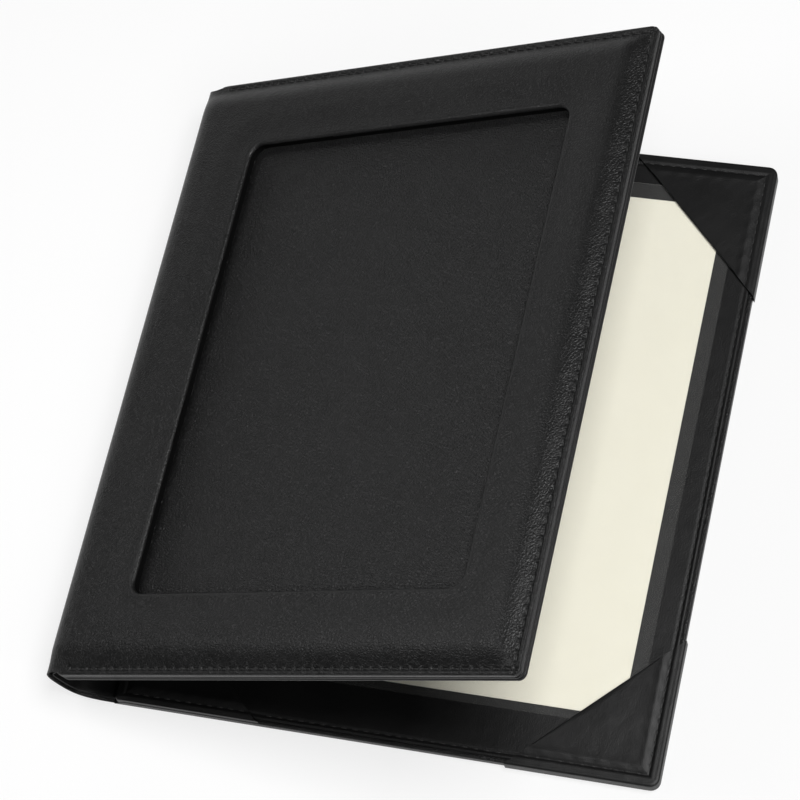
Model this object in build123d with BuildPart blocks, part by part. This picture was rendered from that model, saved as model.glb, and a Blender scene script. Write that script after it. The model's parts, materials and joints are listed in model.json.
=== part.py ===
from build123d import *
from math import asin, copysign, cos, degrees, floor, radians, sin
import os

os.makedirs("parts", exist_ok=True)

# Certificate frame: a leather holder of two covers that hinge on a soft leather spine.
# It lies on its back cover with the front cover ajar. X runs from the spine to the fore
# edge, Y along the spine from the bottom edge to the top edge, and Z up from the table.
# The origin is the middle of the back cover's resting face.

# Covers, seen flat
cover_width = 247.65
cover_height = 304.8
fore_corner_radius = 3.5
spine_corner_radius = 6.0

# Layers of the back cover
back_leather_thickness = 0.9
back_board_thickness = 2.5
liner_thickness = 0.8
liner_inset = 2.0
back_turn_in = 15.0
back_edge_rounding = 0.7

# Layers of the front cover, from its inner face outwards
front_liner_thickness = 0.9
backing_board_thickness = 2.0
front_liner_turn_in = 15.0
front_liner_edge_rounding = 0.7
frame_leather_thickness = 0.8
frame_board_thickness = 1.5
frame_leather_turn_in = 14.0
frame_leather_edge_rounding = 0.6

# Cards are cut this much short of the leather that they lie between, with small corners
card_clearance = 0.5
card_corner_radius = 0.5

# Padded frame of the front cover
margin_width = 4.8
pad_rise = 3.7
fore_shoulder_run = 11.0
spine_shoulder_run = 9.0
crown_fall = 0.9
crown_run = 13.0
window_rim_width = 3.0
window_rim_rounding = 2.0
foam_clearance = 0.1

# Window over the recessed panel
window_side_margin = 34.6
window_end_margin = 37.0
window_corner_radius = 8.5

# Soft spine: a flat tongue beyond the back board, then a bowed strip up to the front cover
tongue_length = 14.0
spine_chord = 28.74
spine_bow = 2.0
spine_rest_angle = 112.5
spine_end_inset = 0.4
front_lip_reach = 1.3
hinge_gap = 0.3
cover_rest_angle = 22.9

# Corner pockets
pocket_leather_thickness = 0.9
pocket_leg = 67.5
pocket_seam_width = 6.0
pocket_slot_height = 0.9
pocket_hem_height = 0.5

# Certificate sheet and the clear film over it, by their distances from the cover's edges
sheet_thickness = 0.25
sheet_fore_margin = 20.6
sheet_spine_margin = 23.85
sheet_top_margin = 22.4
sheet_bottom_margin = 28.4
film_thickness = 0.2
film_fore_margin = 13.7
film_spine_margin = 19.95
film_top_margin = 14.6
film_bottom_margin = 24.2

# Stitches
stitch_pitch = 5.0
stitch_length = 3.3
thread_width = 0.7
thread_height = 0.3
front_stitch_inset = 2.8
back_stitch_inset = 4.2

# Levels of the back cover above the table
back_board_top = back_leather_thickness + back_board_thickness
back_leather_top = back_board_top + back_leather_thickness
liner_top = back_leather_top + liner_thickness
pocket_floor = liner_top + pocket_slot_height
pocket_top = pocket_floor + pocket_leather_thickness

# Levels of the front cover above its own inner face
backing_board_top = front_liner_thickness + backing_board_thickness
lower_layers_top = backing_board_top + front_liner_thickness
panel_top = lower_layers_top + frame_leather_thickness
frame_board_top = panel_top + frame_board_thickness
margin_top = frame_board_top + frame_leather_thickness

# Fold lines: each lies in the middle of the folded leather's thickness
fold_thickness = back_leather_thickness + liner_thickness
fold_half = fold_thickness / 2
lower_fold = (-tongue_length, fold_half)
upper_fold = (
    lower_fold[0] + spine_chord * cos(radians(spine_rest_angle)),
    lower_fold[1] + spine_chord * sin(radians(spine_rest_angle)),
)
lip_level = margin_top - fold_half

# Each cover has a plane at the middle of its spine edge, and a section plane through it
cover_cos = cos(radians(cover_rest_angle))
cover_sin = sin(radians(cover_rest_angle))
back_origin = (-cover_width / 2, 0, 0)
front_origin = (
    back_origin[0] + upper_fold[0] + front_lip_reach * cover_cos + lip_level * cover_sin,
    0,
    upper_fold[1] + front_lip_reach * cover_sin - lip_level * cover_cos,
)
back_plane = Plane(back_origin)
back_section = Plane(back_origin, x_dir=(1, 0, 0), z_dir=(0, -1, 0))
front_plane = Plane(front_origin, x_dir=(cover_cos, 0, cover_sin), z_dir=(-cover_sin, 0, cover_cos))
front_section = Plane(front_origin, x_dir=(cover_cos, 0, cover_sin), z_dir=(0, -1, 0))
front_cross_section = Plane(front_origin, x_dir=(0, 1, 0), z_dir=(cover_cos, 0, cover_sin))
front_normal = Axis(front_origin, (-cover_sin, 0, cover_cos))


def cover_outline(plane, inset, spine_radius, spine_inset=None):
    """Outline of a cover on a plane, drawn in by inset, with rounded corners."""
    left = inset if spine_inset is None else spine_inset
    width = cover_width - inset - left
    with BuildSketch(plane) as outline:
        with Locations((left + width / 2, 0)):
            Rectangle(width, cover_height - 2 * inset)
        corners = outline.vertices().group_by(Axis.X)
        fillet(corners[-1], max(fore_corner_radius - inset, card_corner_radius))
        if spine_radius > inset:
            spine_corners = outline.vertices().group_by(Axis.X)[0]
            fillet(spine_corners, spine_radius - inset)
    return outline.sketch


def front_outline(level, inset):
    """Outline of the front cover at a level above its inner face."""
    return cover_outline(front_plane.offset(level), inset, spine_corner_radius)


def back_outline(level, inset, spine_inset=0):
    """Outline of the back cover at a level, square at the spine, where it has no turn-in."""
    return cover_outline(back_plane.offset(level), inset, 0, spine_inset)


def window_outline(level, growth):
    """Outline of the window at a level of the front cover, grown on all sides."""
    with BuildSketch(front_plane.offset(level)) as outline:
        with Locations((cover_width / 2, 0)):
            RectangleRounded(
                cover_width - 2 * window_side_margin + 2 * growth,
                cover_height - 2 * window_end_margin + 2 * growth,
                window_corner_radius + growth,
            )
    return outline.sketch


def soft_step(low, high):
    """Two equal arcs that leave the point low and reach the point high, level at both."""
    middle = ((low[0] + high[0]) / 2, (low[1] + high[1]) / 2)
    heading = copysign(1, high[0] - low[0])
    TangentArc(low, middle, tangent=(heading, 0))
    TangentArc(high, middle, tangent=(-heading, 0))


def bar_profile(plane, near, far, base, rise, near_run):
    """Section across the padded frame: shoulders at both sides and a level top.

    The near side is an S when near_run is 0, as wide as the fore shoulder, and else one arc."""
    top = base + rise
    far_top = (far - fore_shoulder_run, top)
    with BuildSketch(plane) as section:
        with BuildLine():
            if near_run:
                near_top = (near + near_run, top)
                TangentArc(near_top, (near, base), tangent=(-1, 0))
            else:
                near_top = (near + fore_shoulder_run, top)
                soft_step((near, base), near_top)
            Line(near_top, far_top)
            soft_step((far, base), far_top)
            Line((far, base), (near, base))
        make_face()
    return section.sketch


def crown_profile(plane, near, far, window_near, window_far, base, rise):
    """Section through the crown: full height at the bars, and lower beside the window."""
    top = base + rise
    rim = top - crown_fall
    rim_near = (window_near - window_rim_width, rim)
    rim_far = (window_far + window_rim_width, rim)
    crown_near = (rim_near[0] - crown_run, top)
    crown_far = (rim_far[0] + crown_run, top)
    with BuildSketch(plane) as section:
        with BuildLine():
            Polyline(crown_near, (near, top), (near, base), (far, base), (far, top), crown_far)
            soft_step(rim_near, crown_near)
            Line(rim_near, rim_far)
            soft_step(rim_far, crown_far)
        make_face()
    return section.sketch


def padded_form(inset, base, rise):
    """Solid of the padding above a level of the front cover, before the window is cut."""
    half_height = cover_height / 2
    window_half = half_height - window_end_margin
    with BuildPart() as crown:
        extrude(
            crown_profile(
                front_section, 0, cover_width,
                window_side_margin, cover_width - window_side_margin, base, rise,
            ),
            amount=half_height, both=True,
        )
        extrude(
            crown_profile(
                front_cross_section, -half_height, half_height,
                -window_half, window_half, base, rise,
            ),
            amount=cover_width,
        )
    with BuildPart() as form:
        extrude(
            bar_profile(
                front_section, inset, cover_width - margin_width, base, rise, spine_shoulder_run,
            ),
            amount=half_height, both=True,
        )
        bar_end = half_height - margin_width
        extrude(
            bar_profile(front_cross_section, -bar_end, bar_end, base, rise, 0),
            amount=cover_width, mode=Mode.INTERSECT,
        )
        add(crown.part, mode=Mode.INTERSECT)
        extrude(front_outline(base, inset), amount=rise, mode=Mode.INTERSECT)
    return form.part


def fold_layer(low, high):
    """Section of one layer of the tongue, whose end is round about the lower fold line."""
    reach = tongue_length + fold_half
    with BuildSketch(back_section) as layer:
        with Locations((-tongue_length / 2, fold_half)):
            Rectangle(tongue_length, fold_thickness)
        with Locations(lower_fold):
            Circle(fold_half)
        with Locations((-reach / 2, (low + high) / 2)):
            Rectangle(reach, high - low, mode=Mode.INTERSECT)
    return layer.sketch


def spine_strip(inner_radius, outer_radius):
    """Section of one layer of the bowed spine, a band of an arc between the fold lines."""
    outward = radians(spine_rest_angle + 90)
    bow_radius = (spine_chord ** 2 / 4 + spine_bow ** 2) / (2 * spine_bow)
    centre_distance = bow_radius - spine_bow
    centre = (
        (lower_fold[0] + upper_fold[0]) / 2 - centre_distance * cos(outward),
        (lower_fold[1] + upper_fold[1]) / 2 - centre_distance * sin(outward),
    )
    half_sweep = asin(spine_chord / 2 / bow_radius) - (fold_half + hinge_gap) / bow_radius
    start = degrees(outward - half_sweep)
    sweep = degrees(2 * half_sweep)
    with BuildSketch(back_section) as strip:
        with BuildLine():
            outer = CenterArc(centre, bow_radius + outer_radius, start, sweep)
            inner = CenterArc(centre, bow_radius + inner_radius, start, sweep)
            Line(outer @ 0, inner @ 0)
            Line(outer @ 1, inner @ 1)
        make_face()
    return strip.sketch


# Back cover: one sheet of leather under the board, turned up round three edges and in
# over the board, and running on past the spine edge as the tongue
with BuildPart() as back_cover_leather:
    extrude(back_outline(0, 0), amount=back_leather_top)
    rim_edges = back_cover_leather.edges().group_by(Axis.Z)
    fillet(rim_edges[0].sort_by(Axis.X)[1:], back_edge_rounding)
    rim_edges = back_cover_leather.edges().group_by(Axis.Z)
    fillet(rim_edges[-1].sort_by(Axis.X)[1:], back_edge_rounding)
    extrude(
        back_outline(back_leather_thickness, back_leather_thickness),
        amount=back_board_thickness, mode=Mode.SUBTRACT,
    )
    extrude(
        back_outline(back_board_top, back_leather_thickness + back_turn_in),
        amount=back_leather_thickness, mode=Mode.SUBTRACT,
    )
    extrude(fold_layer(0, back_leather_thickness), amount=cover_height / 2, both=True)
back_cover_leather.part.label = "back_cover_leather"
export_step(back_cover_leather.part, "parts/back_cover_leather.step")

with BuildPart() as back_board:
    extrude(
        back_outline(back_leather_thickness, back_leather_thickness),
        amount=back_board_thickness,
    )
back_board.part.label = "back_board"
export_step(back_board.part, "parts/back_board.step")

# Card inside the turned-in leather, level with it
with BuildPart() as back_infill_card:
    extrude(
        back_outline(back_board_top, back_leather_thickness + back_turn_in + card_clearance),
        amount=back_leather_thickness,
    )
back_infill_card.part.label = "back_infill_card"
export_step(back_infill_card.part, "parts/back_infill_card.step")

# Lining of the back cover: it drops over the board's spine edge onto the tongue
with BuildPart() as back_liner:
    extrude(back_outline(back_leather_top, liner_inset), amount=liner_thickness)
    with BuildSketch(back_section) as liner_drop:
        with Locations((-liner_thickness / 2, (back_leather_thickness + liner_top) / 2)):
            Rectangle(liner_thickness, liner_top - back_leather_thickness)
    extrude(amount=cover_height / 2 - liner_inset, both=True)
    extrude(
        fold_layer(back_leather_thickness, fold_thickness),
        amount=cover_height / 2 - liner_inset, both=True,
    )
back_liner.part.label = "back_liner"
export_step(back_liner.part, "parts/back_liner.step")


def corner_pocket(at_fore, at_top):
    """Triangular leather pocket over one corner, folded down outside the cover's edges.

    At the spine it has no fold, because the lining runs on over that edge."""
    wrap = pocket_leather_thickness
    leg = pocket_leg + wrap
    side = 1 if at_top else -1
    corner_x = cover_width + wrap if at_fore else 0
    corner_y = side * (cover_height / 2 + wrap)
    inward = -1 if at_fore else 1
    with BuildPart() as pocket:
        with BuildSketch(back_plane.offset(pocket_hem_height)) as triangle:
            with BuildLine():
                Polyline(
                    (corner_x, corner_y),
                    (corner_x + inward * leg, corner_y),
                    (corner_x, corner_y - side * leg),
                    close=True,
                )
            make_face()
            if at_fore:
                outer_corner = triangle.vertices().sort_by_distance((corner_x, corner_y))[0]
                fillet(outer_corner, fore_corner_radius + wrap)
        extrude(amount=pocket_top - pocket_hem_height)
        extrude(back_outline(0, 0), amount=back_leather_top, mode=Mode.SUBTRACT)
        extrude(back_outline(0, liner_inset), amount=liner_top, mode=Mode.SUBTRACT)
        extrude(
            back_outline(liner_top, pocket_seam_width, pocket_seam_width),
            amount=pocket_slot_height, mode=Mode.SUBTRACT,
        )
    return pocket.part


for pocket_name, at_fore, at_top in (
    ("corner_pocket_top_fore", True, True),
    ("corner_pocket_bottom_fore", True, False),
    ("corner_pocket_top_spine", False, True),
    ("corner_pocket_bottom_spine", False, False),
):
    pocket_part = corner_pocket(at_fore, at_top)
    pocket_part.label = pocket_name
    export_step(pocket_part, f"parts/{pocket_name}.step")


def inside_sheet(level, thickness, fore, spine, top, bottom):
    """Flat sheet on the back cover, set by its distances from the four edges."""
    width = cover_width - fore - spine
    height = cover_height - top - bottom
    with BuildPart() as sheet:
        with BuildSketch(back_plane.offset(level)):
            with Locations((spine + width / 2, (bottom - top) / 2)):
                Rectangle(width, height)
        extrude(amount=thickness)
    return sheet.part


# Cream certificate sheet, with its corners in the pockets
certificate_sheet = inside_sheet(
    liner_top, sheet_thickness,
    sheet_fore_margin, sheet_spine_margin, sheet_top_margin, sheet_bottom_margin,
)
certificate_sheet.label = "certificate_sheet"
export_step(certificate_sheet, "parts/certificate_sheet.step")

# Clear film over the sheet, larger all round
clear_film = inside_sheet(
    liner_top + sheet_thickness, film_thickness,
    film_fore_margin, film_spine_margin, film_top_margin, film_bottom_margin,
)
clear_film.label = "clear_film"
export_step(clear_film, "parts/clear_film.step")

# Stitches of the lining, on the three turned-in edges between the pockets
row_across = cover_height - 2 * back_stitch_inset
across_count = floor((cover_width - 2 * pocket_leg) / stitch_pitch)
fore_count = floor((cover_height - 2 * pocket_leg) / stitch_pitch)
with BuildPart() as back_edge_stitches:
    with BuildSketch(back_plane.offset(liner_top)) as liner_rows:
        with Locations((cover_width / 2, 0)):
            with GridLocations(stitch_pitch, row_across, across_count, 2):
                Rectangle(stitch_length, thread_width)
        with Locations((cover_width - back_stitch_inset, 0)):
            with GridLocations(stitch_pitch, stitch_pitch, 1, fore_count):
                Rectangle(thread_width, stitch_length)
    extrude(amount=thread_height)
back_edge_stitches.part.label = "back_edge_stitches"
export_step(back_edge_stitches.part, "parts/back_edge_stitches.step")

# Stitches of the pockets, along every leg that lies on a turned-in edge
leg_count = floor((pocket_leg - 2 * back_stitch_inset - stitch_length) / stitch_pitch)
leg_middle = back_stitch_inset + stitch_length / 2 + leg_count * stitch_pitch / 2
with BuildPart() as pocket_stitches:
    with BuildSketch(back_plane.offset(pocket_top)) as pocket_rows:
        with Locations((leg_middle, 0), (cover_width - leg_middle, 0)):
            with GridLocations(stitch_pitch, row_across, leg_count, 2):
                Rectangle(stitch_length, thread_width)
        leg_offset = cover_height / 2 - leg_middle
        fore_row = cover_width - back_stitch_inset
        with Locations((fore_row, leg_offset), (fore_row, -leg_offset)):
            with GridLocations(stitch_pitch, stitch_pitch, 1, leg_count):
                Rectangle(thread_width, stitch_length)
    extrude(amount=thread_height)
pocket_stitches.part.label = "pocket_stitches"
export_step(pocket_stitches.part, "parts/pocket_stitches.step")

# Spine: outer leather and lining, bowed outwards between the two fold lines
spine_half_length = cover_height / 2 - spine_end_inset
leather_inner_offset = liner_thickness - fold_half
with BuildPart() as spine_leather:
    extrude(spine_strip(leather_inner_offset, fold_half), amount=spine_half_length, both=True)
spine_leather.part.label = "spine_leather"
export_step(spine_leather.part, "parts/spine_leather.step")

with BuildPart() as spine_liner:
    extrude(spine_strip(-fold_half, leather_inner_offset), amount=spine_half_length, both=True)
spine_liner.part.label = "spine_liner"
export_step(spine_liner.part, "parts/spine_liner.step")

# Inner half of the front cover: leather wrapped round a board and turned in over it
with BuildPart() as front_liner:
    extrude(front_outline(0, 0), amount=lower_layers_top)
    level_edges = front_liner.edges().group_by(front_normal)
    fillet(level_edges[0] + level_edges[-1], front_liner_edge_rounding)
    extrude(
        front_outline(front_liner_thickness, front_liner_thickness),
        amount=backing_board_thickness, mode=Mode.SUBTRACT,
    )
    extrude(
        front_outline(backing_board_top, front_liner_thickness + front_liner_turn_in),
        amount=front_liner_thickness, mode=Mode.SUBTRACT,
    )
front_liner.part.label = "front_liner"
export_step(front_liner.part, "parts/front_liner.step")

with BuildPart() as front_backing_board:
    extrude(
        front_outline(front_liner_thickness, front_liner_thickness),
        amount=backing_board_thickness,
    )
front_backing_board.part.label = "front_backing_board"
export_step(front_backing_board.part, "parts/front_backing_board.step")

# Card under the panel, level with the turned-in lining
with BuildPart() as panel_card:
    card_inset = front_liner_thickness + front_liner_turn_in + card_clearance
    extrude(front_outline(backing_board_top, card_inset), amount=front_liner_thickness)
panel_card.part.label = "panel_card"
export_step(panel_card.part, "parts/panel_card.step")

# Grained leather of the panel, level with the turned-in frame leather
with BuildPart() as panel_leather:
    panel_inset = frame_leather_thickness + frame_leather_turn_in + card_clearance
    extrude(front_outline(lower_layers_top, panel_inset), amount=frame_leather_thickness)
panel_leather.part.label = "panel_leather"
export_step(panel_leather.part, "parts/panel_leather.step")

# Windowed board that carries the padding
with BuildPart() as front_frame_board:
    extrude(front_outline(panel_top, frame_leather_thickness), amount=frame_board_thickness)
    extrude(
        window_outline(panel_top, frame_leather_thickness),
        amount=frame_board_thickness, mode=Mode.SUBTRACT,
    )
front_frame_board.part.label = "front_frame_board"
export_step(front_frame_board.part, "parts/front_frame_board.step")


def foam_form(clearance):
    """Foam ring, crowned, that ends at the flat margin, smaller by a clearance."""
    with BuildPart() as ring:
        add(padded_form(
            frame_leather_thickness + clearance, frame_board_top, pad_rise - clearance,
        ))
        extrude(
            window_outline(frame_board_top, frame_leather_thickness + clearance),
            amount=pad_rise, mode=Mode.SUBTRACT,
        )
        rim = ring.edges(Select.LAST).group_by(front_normal)[-1]
        fillet(rim, window_rim_rounding - frame_leather_thickness)
    return ring.part


front_foam_pad = foam_form(foam_clearance)
front_foam_pad.label = "front_foam_pad"
export_step(front_foam_pad, "parts/front_foam_pad.step")

# Frame leather: over the padding, down inside the window, round the cover's edge and in
# under the board, with a doubled lip at the spine that the fold hangs on
with BuildPart() as front_cover_leather:
    extrude(front_outline(lower_layers_top, 0), amount=margin_top - lower_layers_top)
    level_edges = front_cover_leather.edges().group_by(front_normal)
    fillet(level_edges[0] + level_edges[-1], frame_leather_edge_rounding)
    with BuildSketch(front_section) as lip:
        lip_start = frame_leather_thickness
        with Locations(((lip_start - front_lip_reach) / 2, lip_level)):
            Rectangle(lip_start + front_lip_reach, fold_thickness)
        with Locations((-front_lip_reach, lip_level)):
            Circle(fold_half)
    extrude(amount=cover_height / 2 - spine_corner_radius, both=True)
    add(padded_form(0, margin_top, pad_rise))
    extrude(window_outline(panel_top, 0), amount=margin_top + pad_rise, mode=Mode.SUBTRACT)
    window_rim = front_cover_leather.edges(Select.LAST).group_by(front_normal)[-1]
    fillet(window_rim, window_rim_rounding)
    add(front_frame_board.part, mode=Mode.SUBTRACT)
    add(foam_form(0), mode=Mode.SUBTRACT)
    extrude(
        front_outline(lower_layers_top, frame_leather_thickness + frame_leather_turn_in),
        amount=frame_leather_thickness, mode=Mode.SUBTRACT,
    )
front_cover_leather.part.label = "front_cover_leather"
export_step(front_cover_leather.part, "parts/front_cover_leather.step")

# Stitches of the front cover, along the flat margin of its three free edges
front_row_start = spine_corner_radius + front_stitch_inset
front_across_count = floor((cover_width - front_row_start - front_stitch_inset) / stitch_pitch)
front_fore_count = floor((cover_height - 2 * front_stitch_inset) / stitch_pitch)
with BuildPart() as front_edge_stitches:
    with BuildSketch(front_plane.offset(margin_top)) as margin_rows:
        with Locations(((front_row_start + cover_width - front_stitch_inset) / 2, 0)):
            front_row_spacing = cover_height - 2 * front_stitch_inset
            with GridLocations(stitch_pitch, front_row_spacing, front_across_count, 2):
                Rectangle(stitch_length, thread_width)
        with Locations((cover_width - front_stitch_inset, 0)):
            with GridLocations(stitch_pitch, stitch_pitch, 1, front_fore_count):
                Rectangle(thread_width, stitch_length)
    extrude(amount=thread_height)
front_edge_stitches.part.label = "front_edge_stitches"
export_step(front_edge_stitches.part, "parts/front_edge_stitches.step")
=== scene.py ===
import json
import bmesh
import bpy
import numpy as np
from mathutils import Matrix, Vector


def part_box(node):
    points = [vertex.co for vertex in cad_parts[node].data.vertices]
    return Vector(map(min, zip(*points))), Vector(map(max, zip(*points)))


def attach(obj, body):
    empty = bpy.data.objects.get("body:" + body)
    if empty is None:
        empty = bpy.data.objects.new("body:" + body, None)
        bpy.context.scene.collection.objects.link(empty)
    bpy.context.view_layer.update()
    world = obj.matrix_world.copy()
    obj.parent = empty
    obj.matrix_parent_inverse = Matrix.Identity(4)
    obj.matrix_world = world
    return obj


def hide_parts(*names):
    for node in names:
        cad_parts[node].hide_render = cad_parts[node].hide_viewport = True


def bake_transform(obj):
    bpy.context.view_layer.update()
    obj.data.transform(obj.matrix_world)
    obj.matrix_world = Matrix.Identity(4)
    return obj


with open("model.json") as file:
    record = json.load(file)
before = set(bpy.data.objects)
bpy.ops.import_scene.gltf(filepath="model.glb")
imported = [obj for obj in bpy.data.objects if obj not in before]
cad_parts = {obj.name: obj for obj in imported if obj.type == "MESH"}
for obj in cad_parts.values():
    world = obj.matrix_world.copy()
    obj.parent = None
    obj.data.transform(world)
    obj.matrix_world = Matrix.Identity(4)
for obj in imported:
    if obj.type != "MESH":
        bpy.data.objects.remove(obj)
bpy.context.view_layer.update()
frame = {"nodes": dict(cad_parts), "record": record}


# Back cover leather. One black hide lies under the greyboard, is turned up round three edges
# and glued in over the board, and runs on past the fourth edge towards the spine.
cover_low, cover_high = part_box("back_cover_leather")
cover_width = 2 * cover_high.x
cover_height = cover_high.y - cover_low.y
hide_thickness = 0.0009
inside = hide_thickness  # how far in from a cover's edge its hide ends
back_hide_top = cover_high.z
board_level, board_top = (corner.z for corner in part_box("back_board"))
hide_turn_in = 0.0159
fore_radius = 0.0035
least_radius = 0.0004
rolled = 0.0009
tongue_start = -cover_width / 2 - 0.002
change_start = -cover_width / 2 + 0.0002
change_run = 0.0008
merge_distance = 2e-6
cover_steps = (50, 60)


def outline(low, high, radii, steps, arc_steps=6):
    """Loop round a rectangle: a quarter circle at each corner and a straight run between them.

    It goes counter-clockwise from the middle of the corner at low. An arc's points are its
    centre plus the radius times the cosine and sine of the turned angle."""
    corners = ((low[0], low[1]), (high[0], low[1]), (high[0], high[1]), (low[0], high[1]))
    inward = ((1, 1), (-1, 1), (-1, -1), (1, -1))
    arcs = []
    for turn, (corner, side, radius) in enumerate(zip(corners, inward, radii)):
        radius = max(radius, least_radius)
        angle = np.pi + turn * np.pi / 2 + np.linspace(0, np.pi / 2, 2 * arc_steps + 1)
        arcs.append(np.stack([
            corner[0] + side[0] * radius + radius * np.cos(angle),
            corner[1] + side[1] * radius + radius * np.sin(angle),
        ], axis=1))
    parts = []
    for turn, arc in enumerate(arcs):
        share = np.linspace(0, 1, steps[turn % 2] + 1)[1:-1, None]
        parts += [arc, arc[-1] * (1 - share) + arcs[(turn + 1) % 4][0] * share]
    return np.roll(np.concatenate(parts), -arc_steps, axis=0)


def patch(loop, across, along):
    """Grid that fills a loop of four sides, across and along steps long.

    A point is what the two pairs of opposite sides give at its shares, less what the four
    corners give there (a Coons patch)."""
    bottom = loop[:across + 1]
    right = loop[across:across + along + 1]
    top = loop[across + along:2 * across + along + 1][::-1]
    left = np.concatenate([loop[2 * across + along:], loop[:1]])[::-1]
    s = np.linspace(0, 1, across + 1)[:, None, None]
    t = np.linspace(0, 1, along + 1)[None, :, None]
    sides = (1 - t) * bottom[:, None] + t * top[:, None] + (1 - s) * left[None] + s * right[None]
    west, east = ((1 - t) * side[0] + t * side[-1] for side in (left, right))
    return sides - (1 - s) * west - s * east


def quads(index):
    """Faces between neighbours of a grid of point numbers."""
    around = (index[:-1, :-1], index[1:, :-1], index[1:, 1:], index[:-1, 1:])
    return np.stack([corner.ravel() for corner in around], axis=1)


def linked(name, data):
    """New object of a mesh, a lamp or a camera, in the scene."""
    made = bpy.data.objects.new(name, data)
    bpy.context.collection.objects.link(made)
    return made


def piece(name, points, faces, sharp=50):
    """Object of a mesh with its doubles merged, its faces outwards and smooth below an angle."""
    mesh = bpy.data.meshes.new(name)
    mesh.from_pydata(points.tolist(), [], faces)
    work = bmesh.new()
    work.from_mesh(mesh)
    bmesh.ops.remove_doubles(work, verts=work.verts, dist=merge_distance)
    bmesh.ops.recalc_face_normals(work, faces=work.faces)
    work.to_mesh(mesh)
    work.free()
    mesh.polygons.foreach_set("use_smooth", np.ones(len(mesh.polygons), bool))
    mesh.set_sharp_from_angle(angle=np.radians(sharp))
    return linked(name, mesh)


def shell(name, loops, cap=None, sharp=50):
    """Closed surface over loops of points, (loop, point, xyz), each joined to the next by quads.

    With cap, the steps across and along, patches fill the first and last loops. Without it,
    the last loop joins the first."""
    rows, count = loops.shape[:2]
    index = np.arange(rows * count).reshape(rows, count)
    index = np.concatenate([index, index[:, :1]], axis=1)
    points = [loops.reshape(-1, 3)]
    if cap is None:
        faces = [quads(np.concatenate([index, index[:1]]))]
    else:
        faces = [quads(index)]
        for loop in (loops[0], loops[-1]):
            grid = patch(loop, *cap)
            start = sum(len(p) for p in points)
            faces.append(quads(start + np.arange(grid[..., 0].size).reshape(grid.shape[:2])))
            points.append(grid.reshape(-1, 3))
    return piece(name, np.concatenate(points), np.concatenate(faces).tolist(), sharp)


def partway(start, end, share):
    """What lies at a share of the way from start to end."""
    return start + (end - start) * share


def smooth(x):
    """Rises from 0 to 1 as x does, level at both ends: three x squared less two x cubed."""
    x = np.clip(x, 0, 1)
    return x * x * (3 - 2 * x)


def bell(distance, half_width):
    """1 at no distance and falling to both sides: e to the minus (distance / half_width) squared."""
    return np.exp(-(distance / half_width) ** 2)


def quarter(start, end, steps, first_along_inset):
    """Inset and level of points on a quarter ellipse from start to end, without start."""
    angle = np.linspace(0, np.pi / 2, steps + 1)[1:]
    lead, lag = np.sin(angle), 1 - np.cos(angle)
    shares = (lead, lag) if first_along_inset else (lag, lead)
    return [(partway(start[0], end[0], a), partway(start[1], end[1], b)) for a, b in zip(*shares)]


def raised(plan, level):
    """A loop's plan with its level: a number, a value for each point, or a function of place."""
    if callable(level):
        level = level(plan[:, 0], plan[:, 1])
    return np.column_stack([plan, np.broadcast_to(level, len(plan))])


def back_outline(spine_end, inset, corner):
    """Loop round the back cover, drawn in by inset on three sides and cut off at spine_end."""
    return outline(
        (spine_end, -cover_height / 2 + inset), (cover_width / 2 - inset, cover_height / 2 - inset),
        (0, corner, corner, 0), cover_steps,
    )


def back_loops(profile, spine_profile):
    """Loops round the back cover for each inset and level of a profile.

    West of the board's edge the profile gives way to spine_profile, inset and level, within a
    short run, and the loop ends at the start of the tongue."""
    loops = []
    for (inset, level), (flat_inset, flat_level) in zip(profile, spine_profile):
        turned = back_outline(tongue_start, inset, fore_radius - inset)
        flat = back_outline(tongue_start, flat_inset, fore_radius - inset)
        west = smooth((change_start - turned[:, :1]) / change_run)
        height = partway(level, flat_level, west[:, 0])
        loops.append(raised(partway(turned, flat, west), height))
    return np.array(loops)


edge_outside = (
    [(hide_turn_in, 0), (0.006, 0), (rolled, 0)]
    + quarter((rolled, 0), (0, rolled), 5, True)
    + [(0.00005, back_hide_top / 2)]
    + [(0, back_hide_top - rolled)]
    + quarter((0, back_hide_top - rolled), (rolled, back_hide_top), 5, False)
    + [(0.0015, back_hide_top - 0.00003), (0.0021, back_hide_top - 0.00018)]
    + [(0.003, back_hide_top - 0.0001), (hide_turn_in, back_hide_top)]
)
edge_inside = [
    (hide_turn_in, board_top), (inside, board_top), (inside, board_level + 0.0001),
    (inside + 0.0001, board_level), (hide_turn_in, board_level),
]
edge_profile = edge_outside + edge_inside
edge_share = np.linspace(0, 1, len(edge_outside) - 2)
tongue_profile = (
    [(hide_turn_in, 0), (0.006, 0)]
    + [(0.0002 * (1 - s), hide_thickness * s) for s in edge_share]
    + [(0.0003, hide_thickness)] * (len(edge_inside) - 1) + [(hide_turn_in, hide_thickness)]
)
tongue_cap = (cover_steps[0] + 12, cover_steps[1] + 12)
back_hide = shell("back_cover_hide", back_loops(edge_profile, tongue_profile), tongue_cap)


class Signal:
    """A shader socket that arithmetic works on: each operator adds a Math node."""

    def __init__(self, finish, socket):
        self.finish = finish
        self.socket = socket

    def math(self, operation, *values):
        return self.finish.node("ShaderNodeMath", {"operation": operation}, dict(enumerate(values)))

    def __add__(self, other):
        return self.math("ADD", self, other)

    def __radd__(self, other):
        return self.math("ADD", other, self)

    def __sub__(self, other):
        return self.math("SUBTRACT", self, other)

    def __rsub__(self, other):
        return self.math("SUBTRACT", other, self)

    def __mul__(self, other):
        return self.math("MULTIPLY", self, other)

    def __rmul__(self, other):
        return self.math("MULTIPLY", other, self)


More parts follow.
